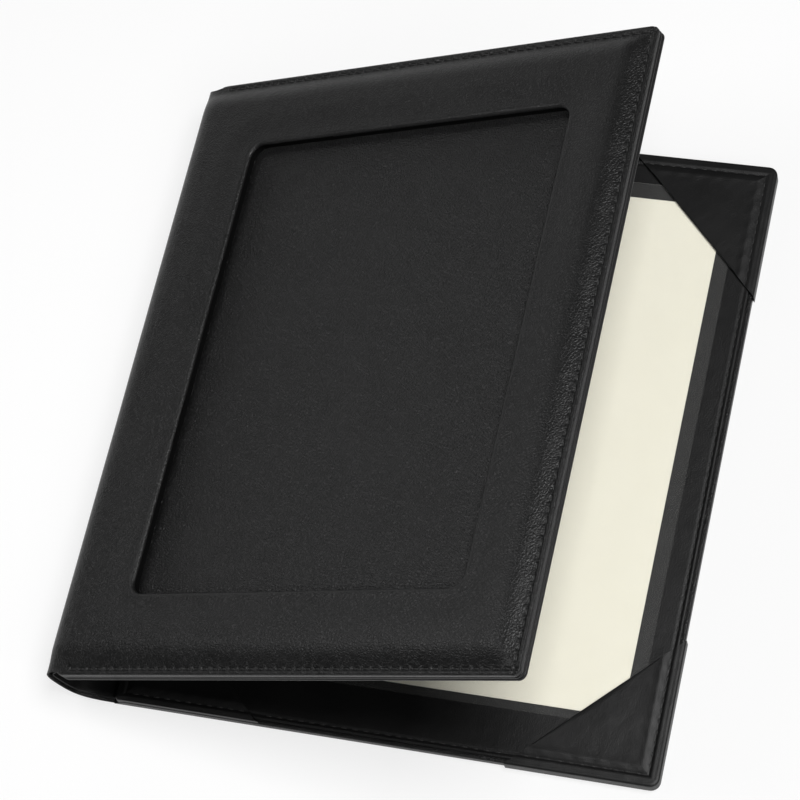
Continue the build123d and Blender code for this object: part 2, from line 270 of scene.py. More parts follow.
class Finish:
    """A material whose nodes are made one by one, with expressions between them."""

    def __init__(self, name):
        self.material = bpy.data.materials.new(name)
        self.material.use_nodes = True
        self.tree = self.material.node_tree
        self.tree.nodes.clear()

    def node(self, kind, settings=None, sockets=None, output=0):
        """Adds a node: its settings first, then its sockets' values or links."""
        made = self.tree.nodes.new(kind)
        for name, value in (settings or {}).items():
            setattr(made, name, value)
        for name, value in (sockets or {}).items():
            if isinstance(value, Signal):
                self.tree.links.new(value.socket, made.inputs[name])
            else:
                made.inputs[name].default_value = value
        return Signal(self, made.outputs[output]) if made.outputs else None

    def place(self, attribute=None):
        """Where a point lies: in the object, or in an attribute that its mesh carries."""
        if attribute:
            return self.node("ShaderNodeAttribute", {"attribute_name": attribute}, output="Vector")
        return self.node("ShaderNodeTexCoord", output="Object")

    def noise(self, where, size, detail=2.0, roughness=0.5, distortion=0.0):
        """Soft noise with features of a size in metres."""
        return self.node("ShaderNodeTexNoise", {"noise_dimensions": "3D"}, {
            "Vector": where, "Scale": 1 / size, "Detail": detail,
            "Roughness": roughness, "Distortion": distortion,
        })

    def cells(self, where, size, feature="F1"):
        """Distance to the nearest of scattered points, or to the edge between two cells."""
        settings = {"voronoi_dimensions": "3D", "feature": feature}
        sockets = {"Vector": where, "Scale": 1 / size}
        return self.node("ShaderNodeTexVoronoi", settings, sockets, "Distance")

    def stepped(self, value, low, high):
        """0 below low, 1 above high and smooth between them."""
        return self.node("ShaderNodeMapRange", {"interpolation_type": "SMOOTHSTEP"}, {
            "Value": value, "From Min": low, "From Max": high,
        })

    def mixed(self, share, first, second):
        """Colour between two colours."""
        return self.node("ShaderNodeMix", {"data_type": "RGBA"}, {
            0: share, 6: (*first, 1), 7: (*second, 1),
        }, 2)

    def relief(self, height, depth, under=None):
        """Normal of a surface that height, from 0 to 1, raises by up to depth in metres."""
        sockets = {"Height": height, "Distance": depth}
        if under:
            sockets["Normal"] = under
        return self.node("ShaderNodeBump", None, sockets)

    def ending(self, shader):
        """The material, its tree ended in this shader."""
        self.node("ShaderNodeOutputMaterial", None, {"Surface": shader})
        return self.material

    def surface(self, sockets):
        """The material, its tree ended in the principled shader with these sockets."""
        return self.ending(self.node("ShaderNodeBsdfPrincipled", None, sockets))


mottle_size = 0.021
rumple_size = 0.0085
rumple_depth = 0.00022


def leather(name, colour, pebble, pebble_depth, roughness, attribute=None):
    """Dyed hide: rounded pebbles with fine creases between them, pores, and slow mottling."""
    finish = Finish(name)
    where = finish.place(attribute)
    drift = finish.noise(where, pebble * 2.2, detail=1.0)
    bent = finish.node("ShaderNodeVectorMath", {"operation": "MULTIPLY_ADD"}, {
        0: drift, 1: (pebble * 0.9,) * 3, 2: where,
    })
    creases = finish.stepped(finish.cells(bent, pebble, "DISTANCE_TO_EDGE"), 0.0, 0.28)
    domes = 1 - finish.cells(bent, pebble * 0.62)
    pores = finish.noise(where, pebble * 0.22, detail=3.0, roughness=0.6)
    patches = finish.noise(where, mottle_size, detail=3.0, roughness=0.55)
    rumple = finish.noise(where, rumple_size, detail=2.0)
    grain = creases * 0.55 + domes * 0.3 + pores * 0.15
    soft = finish.relief(rumple, rumple_depth)
    normal = finish.relief(grain, pebble_depth, soft)
    shade = finish.stepped(patches * 0.75 + creases * 0.25, 0.25, 0.8)
    return finish.surface({
        "Base Color": finish.mixed(shade, [c * 0.75 for c in colour], [c * 1.3 for c in colour]),
        "Roughness": roughness + 0.1 * patches - 0.07 * creases,
        "IOR": 1.41,
        "Normal": normal,
    })


cover_black = (0.0048, 0.0048, 0.0049)
cover_hide = leather("cover_hide_grained", cover_black, 0.0013, 0.00014, 0.38)
back_hide.data.materials.append(cover_hide)
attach(back_hide, "back")
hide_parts("back_cover_leather")


# Boards and cards. Grey binder's board stiffens both covers, and thin card fills the step
# inside the turned-in hides. All of it is glued between the layers and out of sight.
def pulp(name, colour, fleck):
    """Pressed pulp: long fibres in two shades and a dry, slightly rough face."""
    finish = Finish(name)
    where = finish.place()
    fibres = finish.noise(where, 0.0016, detail=5.0, roughness=0.7, distortion=1.5)
    specks = finish.stepped(finish.cells(where, 0.004), 0.05, 0.16)
    return finish.surface({
        "Base Color": finish.mixed(fibres * 0.7 + specks * 0.3, fleck, colour),
        "Roughness": 0.86 + 0.08 * fibres,
        "Normal": finish.relief(fibres, 0.00008),
    })


def dress(node, material):
    """Gives a CAD node that stays its own material."""
    slots = frame["nodes"][node].data.materials
    slots.clear()
    slots.append(material)


greyboard = pulp("greyboard", (0.30, 0.29, 0.26), (0.17, 0.16, 0.14))
infill_card = pulp("infill_card", (0.55, 0.51, 0.44), (0.40, 0.36, 0.30))
for node in ("back_board", "front_backing_board", "front_frame_board"):
    dress(node, greyboard)
for node in ("back_infill_card", "panel_card"):
    dress(node, infill_card)


# Back lining. A thinner hide covers the inside of the back cover just short of its edges,
# and one sewn row near the rim draws it down into a shallow channel.
liner_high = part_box("back_liner")[1]
liner_inset = cover_width / 2 - liner_high.x
liner_top = liner_high.z
liner_join = -cover_width / 2 + 0.0015
liner_edge_rounding = 0.0004
liner_field = 0.0062
liner_cap_inset = 0.012
seam_inset = 0.0042
channel_depth = 0.00028
channel_half_width = 0.0007


def channel(distance):
    """Depth of the sewn channel at a distance from its middle."""
    return channel_depth * bell(distance, channel_half_width)


def liner_level(inset):
    """Top of the lining at an inset from the cover's edge, with its channel and a soft swell."""
    swell = 0.00010 * bell(inset - seam_inset + 0.0013, 0.0006)
    return liner_top + swell - channel(inset - seam_inset)


liner_shoulder = liner_inset + liner_edge_rounding
liner_profile = (
    [(liner_cap_inset, back_hide_top), (liner_inset + 0.0003, back_hide_top)]
    + [(liner_inset, back_hide_top + 0.0002)]
    + quarter((liner_inset, back_hide_top + 0.0004), (liner_shoulder, liner_top), 4, False)
    + [(inset, liner_level(inset)) for inset in liner_shoulder + np.linspace(0, liner_field, 26)[1:]]
    + [(liner_cap_inset, liner_top)]
)
liner_loops = [
    raised(back_outline(liner_join, inset, fore_radius - inset), level)
    for inset, level in liner_profile
]
back_lining = shell("back_lining_hide", np.array(liner_loops), tongue_cap)
lining_black = (0.0042, 0.0042, 0.0043)
lining_hide = leather("lining_hide", lining_black, 0.0010, 0.00006, 0.42)
back_lining.data.materials.append(lining_hide)
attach(back_lining, "back")
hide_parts("back_liner")


# Stitches of the lining. Black waxed thread, sewn through the lining and the turned-in hide:
# each stitch is an arched length of two-ply thread whose ends dive into the leather.
stitch_pitch = 0.005
stitch_length = 0.0034
thread_radius = 0.00036
bead_rings = 7
bead_sides = 7


def stitches(name, centres, directions, normals):
    """Stitches at centres: each is a spindle bent over its seam, in a few dozen faces.

    Along its length s, from -1 to 1, its radius is the thread's times the root of 1 - 0.97 s^4,
    and its middle sinks with s squared, so that both ends are buried."""
    s = np.linspace(-1, 1, bead_rings)[:, None]
    turn = np.linspace(0, 2 * np.pi, bead_sides, endpoint=False)[None, :]
    girth = thread_radius * (1 - 0.97 * s ** 4) ** 0.5
    lift = thread_radius * (0.35 - 1.5 * s ** 2) + girth * np.sin(turn)
    side = girth * np.cos(turn)
    run = stitch_length / 2 * s + 0 * turn
    across = np.cross(normals, directions)
    bead = (
        centres[:, None, None]
        + run[None, :, :, None] * directions[:, None, None]
        + side[None, :, :, None] * across[:, None, None]
        + lift[None, :, :, None] * normals[:, None, None]
    )
    index = np.arange(bead[..., 0].size).reshape(bead.shape[:3])
    closed = np.concatenate([index, index[:, :, :1]], axis=2)
    faces = [face for rings in closed for face in quads(rings).tolist()]
    faces += index[:, 0].tolist() + index[:, -1, ::-1].tolist()
    made = piece(name, bead.reshape(-1, 3), faces, 180)
    made.data.materials.append(thread)
    return made


def waxed_thread():
    """Two-ply thread: fine slanting ridges under a dull wax."""
    finish = Finish("waxed_thread")
    where = finish.place()
    fibres = finish.noise(where, 0.00035, detail=3.0, roughness=0.6, distortion=2.0)
    return finish.surface({
        "Base Color": finish.mixed(fibres, (0.008, 0.008, 0.008), (0.024, 0.024, 0.024)),
        "Roughness": 0.50 + 0.15 * fibres,
        "Normal": finish.relief(fibres, 0.00008),
    })


along_x, along_y, upwards = np.eye(3)


def row(start, end):
    """Places along a seam, a pitch apart and centred between its ends."""
    count = int((end - start) / stitch_pitch)
    return (start + end) / 2 + stitch_pitch * (np.arange(count) - (count - 1) / 2)


def flat_row(x, y, z, direction):
    """Centres, directions and normals of stitches that lie level."""
    centres = np.stack(np.broadcast_arrays(x, y, z), axis=1)
    return centres, np.tile(direction, (len(centres), 1)), np.tile(upwards, (len(centres), 1))


def joined(rows):
    """Several rows of stitches as one."""
    return [np.concatenate(part) for part in zip(*rows)]


thread = waxed_thread()
pocket_leg = 0.0675
seam_x = cover_width / 2 - seam_inset
seam_y = cover_height / 2 - seam_inset
seam_floor = liner_top - channel_depth
between_x = row(-cover_width / 2 + pocket_leg, cover_width / 2 - pocket_leg)
between_y = row(-cover_height / 2 + pocket_leg, cover_height / 2 - pocket_leg)
lining_rows = joined([
    flat_row(between_x, seam_y, seam_floor, along_x),
    flat_row(between_x, -seam_y, seam_floor, along_x),
    flat_row(seam_x, between_y, seam_floor, along_y),
])
lining_stitches = stitches("lining_stitches", *lining_rows)
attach(lining_stitches, "back")
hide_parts("back_edge_stitches")


# Certificate sheet. Cream laid paper, cut to eight by ten inches, lies on the lining with its
# corners under the pockets, and keeps a trace of waviness from its packet.
def slab(name, face, back, sharp=50):
    """Closed solid between two grids of points of the same shape, joined along their rims."""
    index = np.arange(face[..., 0].size).reshape(face.shape[:2])
    other = index + index.size
    rims = [np.stack([index[k], other[k]]) for k in (0, -1)]
    rims += [np.stack([index[:, k], other[:, k]]) for k in (0, -1)]
    faces = [quads(grid) for grid in (index, other, *rims)]
    points = np.concatenate([face.reshape(-1, 3), back.reshape(-1, 3)])
    return piece(name, points, np.concatenate(faces).tolist(), sharp)


def laid_sheet(name, node, wave, rise=0.0, steps=(70, 84)):
    """Thin sheet in a node's box, lifted by rise and a slow wave: three sines of x and y."""
    low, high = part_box(node)
    x, y = np.meshgrid(
        np.linspace(low.x, high.x, steps[0]), np.linspace(low.y, high.y, steps[1]), indexing="ij")
    ripple = (
        np.sin(23 * x + 11 * y + 0.6) + 0.7 * np.sin(37 * y - 14 * x + 2.1)
        + 0.5 * np.sin(61 * x + 47 * y)
    )
    lift = rise + wave * (0.5 + 0.5 * ripple / 2.2)
    face = np.stack([x, y, high.z + lift], axis=2)
    back = np.stack([x, y, low.z + lift], axis=2)
    return slab(name, face, back, 30)


def paper():
    """Cream paper: faint fibres, a slightly uneven tone and a dry face."""
    finish = Finish("cream_paper")
    where = finish.place()
    fibres = finish.noise(where, 0.0007, detail=6.0, roughness=0.7, distortion=0.8)
    cloud = finish.noise(where, 0.012, detail=3.0)
    tone = fibres * 0.5 + cloud * 0.5
    return finish.surface({
        "Base Color": finish.mixed(tone, (0.815, 0.79, 0.68), (0.865, 0.845, 0.745)),
        "Roughness": 0.72 + 0.12 * fibres,
        "Normal": finish.relief(fibres, 0.00003),
    })


certificate = laid_sheet("certificate_paper", "certificate_sheet", 0.00010)
certificate.data.materials.append(paper())
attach(certificate, "back")
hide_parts("certificate_sheet")


# Clear film. A stiff glossy sheet a little larger than the paper covers it, tucked under the
# same pockets. Its cut edge catches the light and its faces mirror the room faintly.
def clear_film():
    """Film: see-through, with a faint haze and a reflection that grow towards grazing angles."""
    finish = Finish("clear_film")
    where = finish.place()
    wave = finish.noise(where, 0.045, detail=1.5)
    normal = finish.relief(wave, 0.0006)
    gloss = finish.node("ShaderNodeBsdfPrincipled", None, {
        "Base Color": (0.92, 0.92, 0.90, 1), "Metallic": 0.55, "Roughness": 0.12, "Normal": normal,
    })
    through = finish.node("ShaderNodeBsdfTransparent", None, {"Color": (1.0, 1.0, 1.0, 1)})
    share = finish.node("ShaderNodeFresnel", None, {"IOR": 1.42})
    return finish.ending(
        finish.node("ShaderNodeMixShader", None, {0: share * 1.15, 1: through, 2: gloss}))


film = laid_sheet("clear_film_sheet", "clear_film", 0.00016, 0.00003)
film.data.materials.append(clear_film())
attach(film, "back")
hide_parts("clear_film")


# Corner pockets. Four triangles of the cover's hide hold the sheet by its corners. Each is
# sewn along both legs, and its mouth is a rolled fold across the corner. It is folded down
# round the outside of the cover, but by the spine it ends flush with the cover's edge.
pocket_wrap = 0.0009
pocket_hem = 0.0005
pocket_ceiling = 0.0060
pocket_seam_top = 0.0065
pocket_field_top = 0.0069
pocket_bulge = 0.0005
mouth_line = pocket_leg - pocket_wrap
mouth_roll = 0.0005
pocket_rounding = 0.0010
seam_field = 0.0085
slot_edge = 0.0060
spine_leg = 0.004
leg_steps = 44
field_run = 0.0042
fold_height, fold_inset, fold_half_width = 0.00012, 0.0076, 0.0016
hem_height, hem_inset, hem_half_width = 0.00012, 0.0026, 0.0009
pucker_height, pucker_pitch, pucker_half_width = 0.00007, 0.0085, 0.005


def corner_path(inset):
    """Path as distances from a corner's two edges: in along one leg, round, out along the other."""
    radius = max(fore_radius - inset, least_radius)
    far = mouth_line - inset
    ease = np.linspace(0, 1, leg_steps) ** 1.15
    leg = inset + radius + (far - inset - radius) * ease
    angle = np.linspace(0, np.pi / 2, 9)[1:-1]
    arc = inset + radius * (1 - np.stack([np.sin(angle), np.cos(angle)], axis=1))
    first = np.stack([leg[::-1], np.full(leg_steps, inset)], axis=1)
    second = np.stack([np.full(leg_steps, inset), leg], axis=1)
    return np.concatenate([first, arc, second])


def pocket_level(a, b):
    """Top of a pocket at distances a and b from its two edges.

    Sewn down beside the edge, it swells into a fold past the seam, runs level, and bulges
    towards the middle of its mouth, where the sheet lifts it."""
    near = np.minimum(a, b)
    rise = smooth((near - seam_inset + 0.0004) / field_run)
    middle = np.clip(1 - np.abs(a - b) / mouth_line, 0, 1)
    reach = smooth((a + b) / mouth_line)
    pucker = pucker_height * np.sin(2 * np.pi * (a - b) / pucker_pitch)
    pucker *= bell(near - seam_inset, pucker_half_width)
    swell = hem_height * bell(near - hem_inset, hem_half_width)
    swell += fold_height * bell(near - fold_inset, fold_half_width)
    field = pocket_field_top - pocket_seam_top + pocket_bulge * middle * reach ** 2 + pucker
    return pocket_seam_top + field * rise + swell - channel(near - seam_inset)


def pocket(name, node, x_side, y_side):
    """Pocket over one corner, as loops of its section carried round the two legs.

    They go up the wrapped edge, in over the seams, across to the rolled mouth, back along the
    ceiling of the slot that takes the sheet, and down to the cover's edge."""
    outer, rim, last = corner_path(-pocket_wrap), corner_path(0.0), corner_path(seam_field)
    wrap_foot, wrap_top = pocket_hem + 0.0002, pocket_seam_top - 0.0001 - pocket_rounding
    rows = [raised(partway(outer, rim, 0.35), pocket_hem)]
    rows += [raised(outer, level) for level in np.linspace(wrap_foot, wrap_top, 4)]
    for angle in np.linspace(0, np.pi / 2, 7)[1:]:
        plan = partway(outer, rim, 1 - np.cos(angle))
        rows.append(raised(plan, wrap_top + pocket_rounding * np.sin(angle)))
    rows += [raised(corner_path(s), pocket_level) for s in np.linspace(0.0, seam_field, 24)[1:]]
    share = np.clip((last[:, 1] - last[:, 0] + mouth_line) / (2 * mouth_line), 0, 1)[:, None]
    mouth = np.concatenate([mouth_line * (1 - share), mouth_line * share], axis=1)
    from_leg = np.abs(last - mouth).sum(axis=1, keepdims=True)
    inner = mouth - mouth_roll * np.sqrt(0.5) * smooth(from_leg / 0.004)
    rows += [raised(partway(last, inner, s), pocket_level) for s in np.linspace(0, 1, 14)[1:]]
    top = pocket_level(*inner.T)
    middle, half = (top + pocket_ceiling) / 2, (top - pocket_ceiling) / 2
    for angle in np.linspace(np.pi / 2, -np.pi / 2, 9)[1:-1]:
        plan = partway(inner, mouth, np.cos(angle))
        rows.append(raised(plan, middle + half * np.sin(angle)))
    rows += [raised(partway(last, inner, s), pocket_ceiling) for s in np.linspace(1, 0, 5)]
    beneath = (
        (slot_edge, pocket_ceiling), (slot_edge, liner_top), (liner_inset, liner_top),
        (liner_inset, back_hide_top), (0.00002, back_hide_top - 0.0006), (0.0, pocket_hem),
    )
    rows += [raised(corner_path(inset), level) for inset, level in beneath]
    a, b, level = np.moveaxis(np.array(rows), 2, 0)
    if x_side < 0:
        # Nothing wraps round at the spine: the pocket ends flush there and rests on the lining
        a, b = np.maximum(a, 0.0), np.maximum(b, 0.0003)
        on_spine = smooth((b - a) / spine_leg) * smooth((spine_leg - a) / spine_leg)
        level = np.where(on_spine > 0.5, np.maximum(level, liner_top), level)
    x = x_side * (cover_width / 2 - a)
    y = y_side * (cover_height / 2 - b)
    loops = np.stack([x, y, level], axis=2)
    index = np.arange(x.size).reshape(x.shape)
    faces = quads(np.concatenate([index, index[:1]])).tolist()
    faces += [index[:, 0].tolist(), index[:, -1][::-1].tolist()]
    made = piece(name, loops.reshape(-1, 3), faces)
    made.data.materials.append(pocket_hide)
    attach(made, "back")
    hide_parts(node)


pocket_hide = leather("pocket_hide", lining_black, 0.0009, 0.00004, 0.42)
for end, y_side in (("top", 1), ("bottom", -1)):
    for side, x_side in (("fore", 1), ("spine", -1)):
        pocket(f"pocket_hide_{end}_{side}", f"corner_pocket_{end}_{side}", x_side, y_side)
leg_row = row(seam_inset + stitch_length / 2, pocket_leg - seam_inset - stitch_length / 2)
pocket_floor = pocket_seam_top - channel_depth
pocket_rows = []
for y_side in (1, -1):
    for x_side in (1, -1):
        leg_x = x_side * (cover_width / 2 - leg_row)
        pocket_rows.append(flat_row(leg_x, y_side * seam_y, pocket_floor, along_x))
    leg_y = y_side * (cover_height / 2 - leg_row)
    pocket_rows.append(flat_row(seam_x, leg_y, pocket_floor, along_y))
pocket_seams = stitches("pocket_seam_stitches", *joined(pocket_rows))
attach(pocket_seams, "back")
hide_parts("pocket_stitches")


# Inner half of the front cover. A lining hide is wrapped round the backing board and turned
# in over it. Pressed against the panel sheet, its edge shows as two fine ridges with a groove.
fold_low, fold_high = (
    np.array(joint["pos_m"])[[0, 2]] for joint in frame["record"]["behaviour"]["joints"])
cover_angle = np.radians(22.9)
across_front = np.array((np.cos(cover_angle), 0.0, np.sin(cover_angle)))
front_normal = np.array((-np.sin(cover_angle), 0.0, np.cos(cover_angle)))
fold_half = 0.00085
margin_top = 0.0069
lip_reach = 0.0013
front_origin = (
    np.array((fold_high[0], 0.0, fold_high[1]))
    + lip_reach * across_front - (margin_top - fold_half) * front_normal
)
spine_radius = 0.006
lower_top = 0.0038
backing_low = 0.0009
backing_top = 0.0029
lower_turn_in = 0.0159


def on_front(points):
    """Places points of the front cover, (across, along, above its inner face), in the frame."""
    u, v, w = np.split(points, 3, axis=-1)
    return front_origin + u * across_front + v * along_y + w * front_normal


def front_outline(inset, steps=cover_steps, arc_steps=6):
    """Loop round the front cover, drawn in by inset, as across and along distances."""
    return outline(
        (inset, -cover_height / 2 + inset), (cover_width - inset, cover_height / 2 - inset),
        (spine_radius - inset, fore_radius - inset, fore_radius - inset, spine_radius - inset),
        steps, arc_steps,
    )


ridge = 0.0008
groove = 0.0010
lower_edge = (
    [(lower_turn_in, 0), (0.006, 0), (0.0036, 0)]
    + [(0.0030, 0.0001), (0.0027, 0.00016), (0.0024, 0.0001), (0.0018, 0)]
    + [(ridge, 0)] + quarter((ridge, 0), (0, ridge), 5, True)
    + quarter((0, 0.0011), (groove, 0.0018), 4, False)
    + quarter((groove, 0.0021), (0.00005, 0.0028), 4, True)
    + quarter((0.00005, 0.0030), (0.0011, lower_top), 5, False)
    + [(lower_turn_in, lower_top), (lower_turn_in, backing_top), (inside, backing_top)]
    + [(inside, backing_low), (lower_turn_in, backing_low)]
)
lower_loops = [raised(front_outline(inset), level) for inset, level in lower_edge]
front_lining = shell("front_lining_hide", on_front(np.array(lower_loops)), tongue_cap)
front_lining.data.materials.append(lining_hide)
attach(front_lining, "front")
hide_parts("front_liner")


# Recessed panel. A sheet of pebbled hide glued flat on its card shows through the window.
# It is bare, and its rim dips a little where the frame presses it.
panel_low = 0.0038
panel_top = 0.0046
panel_inset = 0.0153
window_side = 0.0346
window_end = 0.037
window_radius = 0.0072
panel_dip = 0.0006
dip_run, hidden_dip_run = 0.0052, 0.0012
pillow_height, pillow_run = 0.00022, 0.012
wave_height, wave_run = 0.00006, 0.02


def window_distance(u, v):
    """Distance outside the window's rounded rectangle, negative within it."""
    half_u = cover_width / 2 - window_side - window_radius
    half_v = cover_height / 2 - window_end - window_radius
    du = np.abs(u - cover_width / 2) - half_u
    dv = np.abs(v) - half_v
    outside = np.hypot(np.maximum(du, 0), np.maximum(dv, 0))
    return outside + np.minimum(np.maximum(du, dv), 0) - window_radius


u, v = np.meshgrid(
    np.linspace(panel_inset, cover_width - panel_inset, 300),
    np.linspace(-cover_height / 2 + panel_inset, cover_height / 2 - panel_inset, 300), indexing="ij")
depth_in = np.clip(-window_distance(u, v), 0, None)
pillow = pillow_height * smooth(depth_in / pillow_run)
waves = wave_height * np.sin(41 * u + 17 * v) * np.sin(29 * v + 1.0) * smooth(depth_in / wave_run)
under_frame = np.clip(window_distance(u, v), 0, None)
pressed = panel_dip * (1 - smooth(depth_in / dip_run)) * (1 - smooth(under_frame / hidden_dip_run))
panel_face = np.stack([u, v, panel_top + pillow + waves - pressed], axis=2)
panel_back = np.stack([u, v, np.full(u.shape, panel_low)], axis=2)
panel = slab("panel_hide", on_front(panel_face), on_front(panel_back))
panel_black = (0.0052, 0.0052, 0.0053)
panel.data.materials.append(leather("panel_hide_pebbled", panel_black, 0.00125, 0.00030, 0.40))
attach(panel, "front")
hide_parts("panel_leather")


# Padded frame. Hide is drawn over a foam ring on a windowed board, down inside the window,
# and round the cover's edge, and one sewn row along three margins holds it down. At the
# spine it rolls over the edge under the spine's own band of hide.
frame_board_top = 0.0061
pad_rise = 0.0037
puff_start = 0.0036
puff_run = 0.0115
window_rim_run = 0.0028
crown_fall = 0.0009
crown_run = 0.014
crown_top = margin_top + pad_rise
margin_seam = 0.0028
seam_depth = 0.00062
seam_half_width = 0.00075
stitch_gap = 0.00075
gap_lift = 1.15
lip_inset = 0.0014
lip_half_width = 0.0006
lip_height = 0.0001
lip_swell = 0.00012
seam_start = spine_radius + margin_seam
across_seam = row(seam_start, cover_width - margin_seam)
along_seam = row(-cover_height / 2 + margin_seam, cover_height / 2 - margin_seam)
roll_end = 0.009
roll_base = 0.0045
roll_drop = 0.00105


def bezier(start, corner, end, first_hold, last_hold, count):
    """Cubic curve from start to end, whose handles lie at shares of the way to a corner."""
    t = np.linspace(0, 1, count)[:, None]
    first, last = partway(start, corner, first_hold), partway(end, corner, last_hold)
    ends = (1 - t) ** 3 * start + t ** 3 * end
    return ends + 3 * (1 - t) ** 2 * t * first + 3 * (1 - t) * t ** 2 * last


spine_bow = 0.0045
spine_run = (fold_high - fold_low) / np.linalg.norm(fold_high - fold_low)
spine_out = np.array((-spine_run[1], spine_run[0]))
spine_middle = (fold_low + fold_high) / 2 + (spine_bow + fold_half) * spine_out


def front_point(across, level):
    """Place in the section, x and z, of a point of the front cover."""
    return on_front(np.array((across, 0.0, level)))[[0, 2]]


section_axes = np.stack([across_front, front_normal], axis=1)[[0, 2]]
to_crown = (front_point(0.0, crown_top) - spine_middle) @ section_axes
roll_corner = spine_middle + to_crown[1] / (spine_run @ section_axes)[1] * spine_run
upper_curve = bezier(spine_middle, roll_corner, front_point(roll_end, crown_top), 0.75, 0.85, 90)
roll_across, roll_level = ((upper_curve - front_origin[[0, 2]]) @ section_axes).T


def puff(distance):
    """Share of the padding's rise at a distance from a sewn edge: quick at first, then easing."""
    t = np.clip((distance - puff_start) / puff_run, 0, 1)
    t = t * t / (t + 0.10) * 1.10
    return 1 - (1 - t) ** 2.1


def crown_level(u, v):
    """Top of the padded frame, before the spine's roll: margin plus the puffs of three edges.

    It falls a little towards the window and creases into the sewn channel."""
    fore, top, bottom = cover_width - u, cover_height / 2 - v, cover_height / 2 + v
    beside = window_distance(u, v)
    rise = pad_rise * puff(fore) * puff(top) * puff(bottom)
    fall = crown_fall * (1 - smooth((beside - window_rim_run) / crown_run))
    wander = 0.00012 * np.sin(38 * u + 9 * v + 1.7) * np.sin(31 * v - 13 * u)
    wander += 0.00008 * np.sin(83 * v + 21 * u)
    return margin_top + rise + (wander - fall) * rise / pad_rise


def seam_dent(u, v):
    """Depth of the sewn channel: deep under each stitch, while the hide stands up between two.

    Its lip towards the cover's edge swells at the same places."""
    fore, top, bottom = cover_width - u, cover_height / 2 - v, cover_height / 2 + v
    seams = ((fore, along_seam[0], v), (np.minimum(top, bottom), across_seam[0], u))
    depth = np.zeros(np.shape(u))
    for distance, first, along in seams:
        phase = (along - first) / stitch_pitch
        gap = np.abs(phase - np.floor(phase) - 0.5) * stitch_pitch
        between = bell(gap, stitch_gap)
        lip = bell(distance - margin_seam + lip_inset, lip_half_width)
        bed = seam_depth * bell(distance - margin_seam, seam_half_width) * (1 - gap_lift * between)
        depth = np.where(np.abs(bed) > np.abs(depth), bed, depth)
        depth = depth - lip * (lip_height + lip_swell * between)
    return depth * smooth((u - seam_start + 0.004) / 0.003)


def skin_level(u, v):
    """Top of the frame's hide over the whole ring.

    Near the spine the crown's height is scaled to the roll's curve, less a share of
    roll_drop, so that the hide passes under the spine's band."""
    level = crown_level(u, v) - seam_dent(u, v)
    curve = np.interp(u, roll_across, roll_level, right=crown_top)
    under = roll_drop * (1 - smooth(u / (roll_end - 0.0005)))
    return roll_base + (level - roll_base) * (curve - under - roll_base) / (crown_top - roll_base)


skin_steps = (400, 490)
skin_arc = 9
spine_keep = 6
rim_run = 0.0014
rim_drop = 0.0018
rim_lean = 0.0008
rim_foot = 0.0063
# How high the painted shade on the window's wall reaches, and how far out from the wall
painted_shade_top = 0.0080
painted_shade_reach = 0.0004
wall_back_top = 0.0080
crown_foot = 0.0049
skin_rounding = 0.0008
skin_foot = lower_top + 0.0009
skin_turn_in = 0.0148


def window_outline(growth, steps, arc_steps):
    """Loop round the window, grown by growth, with a point for each of the cover's loop."""
    return outline(
        (window_side - growth, -cover_height / 2 + window_end - growth),
        (cover_width - window_side + growth, cover_height / 2 - window_end + growth),
        (window_radius + growth,) * 4, steps, arc_steps,
    )


def thinned(loop):
    """The loop with its unsewn spine side at one point in spine_keep."""
    start = 2 * skin_steps[0] + skin_steps[1] + 7 * skin_arc
    side = np.arange(skin_steps[1])
    return np.delete(loop, start + side[side % spine_keep != 0], axis=0)


def skin_cover(inset):
    """Loop of the ring that follows the cover's edge, drawn in by inset."""
    return thinned(front_outline(inset, skin_steps, skin_arc))


def skin_window(growth):
    """Loop of the ring that follows the window, grown by growth."""
    return thinned(window_outline(growth, skin_steps, skin_arc))


# From the wall's foot in the window up, over the rim and the crown, to the sewn margin
rim_plan, margin_plan = skin_window(rim_run), skin_cover(crown_foot)
rim_top = skin_level(*rim_plan.T)
skin_rows = [raised(skin_window(0.0), s) for s in np.linspace(panel_top - panel_dip, rim_foot, 4)]
for angle in np.linspace(0, np.pi / 2, 6)[1:]:
    plan = skin_window(-rim_lean * (1 - np.cos(angle)))
    skin_rows.append(raised(plan, partway(rim_foot, rim_top - rim_drop, np.sin(angle))))
for angle in np.linspace(0, np.pi / 2, 8)[1:]:
    plan = skin_window(rim_run - (rim_run + rim_lean) * np.cos(angle))
    skin_rows.append(raised(plan, rim_top - rim_drop * (1 - np.sin(angle))))
for share in np.linspace(0, 1, 22)[1:-1]:
    share -= 0.10 * np.sin(2 * np.pi * share) / (2 * np.pi)
    skin_rows.append(raised(partway(rim_plan, margin_plan, share), skin_level))
skin_rows += [raised(skin_cover(s), skin_level) for s in np.linspace(crown_foot, skin_rounding, 20)]

# Round the cover's edge and in under the board
edge_top = skin_level(*skin_cover(skin_rounding).T)
for angle in np.linspace(0, np.pi / 2, 5)[1:]:
    plan = skin_cover(skin_rounding * (1 - np.sin(angle)))
    skin_rows.append(raised(plan, edge_top - skin_rounding * (1 - np.cos(angle))))
turned_in = (
    [(0.0, skin_foot)] + quarter((0, skin_foot), (0.0013, lower_top), 4, False)
    + [(skin_turn_in, lower_top), (skin_turn_in, panel_top)]
    + [(inside, panel_top), (inside, frame_board_top)]
)
skin_rows += [raised(skin_cover(inset), level) for inset, level in turned_in]


def below_skin(u, v, gap=0.0):
    """Underside of the frame's hide, or a gap under it, and as far above its board at least."""
    return np.maximum(skin_level(u, v) - hide_thickness - gap, frame_board_top + gap)


skin_rows += [
    raised(partway(margin_plan, rim_plan, share), below_skin) for share in np.linspace(0, 1, 7)]
skin_rows += [raised(skin_window(inside), level) for level in (wall_back_top, panel_top)]
padded_frame = shell("padded_frame_hide", on_front(np.array(skin_rows)), sharp=60)
padded_frame.data.materials.append(cover_hide)


